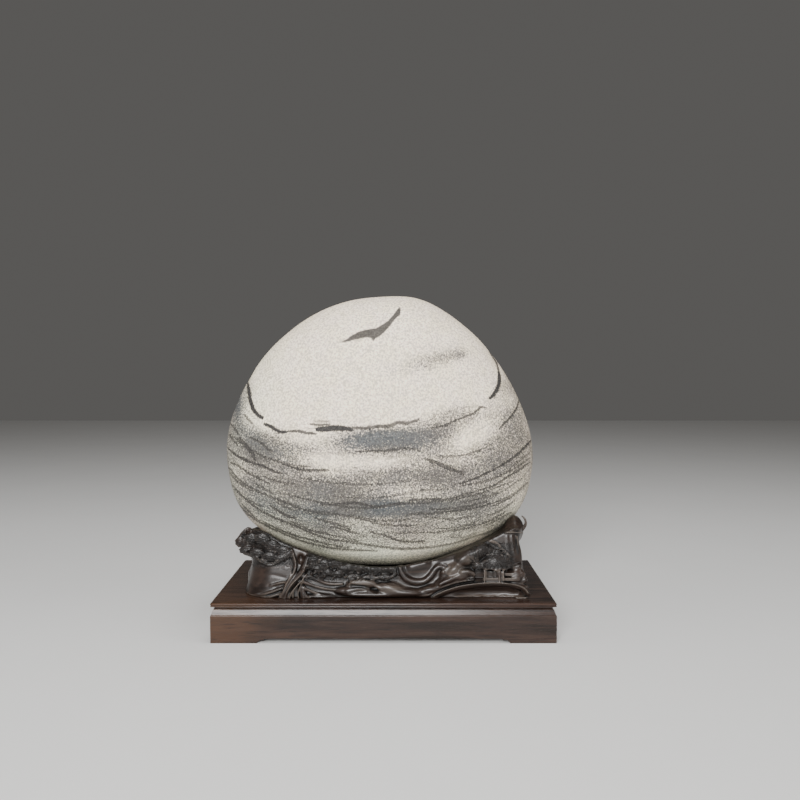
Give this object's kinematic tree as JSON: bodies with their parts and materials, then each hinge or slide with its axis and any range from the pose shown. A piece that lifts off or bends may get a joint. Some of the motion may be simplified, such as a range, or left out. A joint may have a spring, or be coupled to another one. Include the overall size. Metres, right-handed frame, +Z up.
{
  "type": "viewing stone on carved stand",
  "caption": "Rounded river stone with ink-like grey bedding lines, resting in a carved dark wood seat on a low footed plinth.",
  "frame": {"origin": "centre of the plinth's footprint, on the surface that the feet stand on", "axes": "+Z up, -Y towards the viewer of the stone's pictured face, +X to that viewer's right"},
  "size_m": [0.42, 0.236, 0.4286],
  "materials": {
    "stone": "matte",
    "carved_wood": "satin",
    "polished_wood": "satin"
  },
  "bodies": {
    "root": {"stone": "stone", "seat": "carved_wood", "plinth_board": "polished_wood", "apron_front": "polished_wood", "apron_back": "polished_wood", "apron_left": "polished_wood", "apron_right": "polished_wood"}
  },
  "joints": []
}
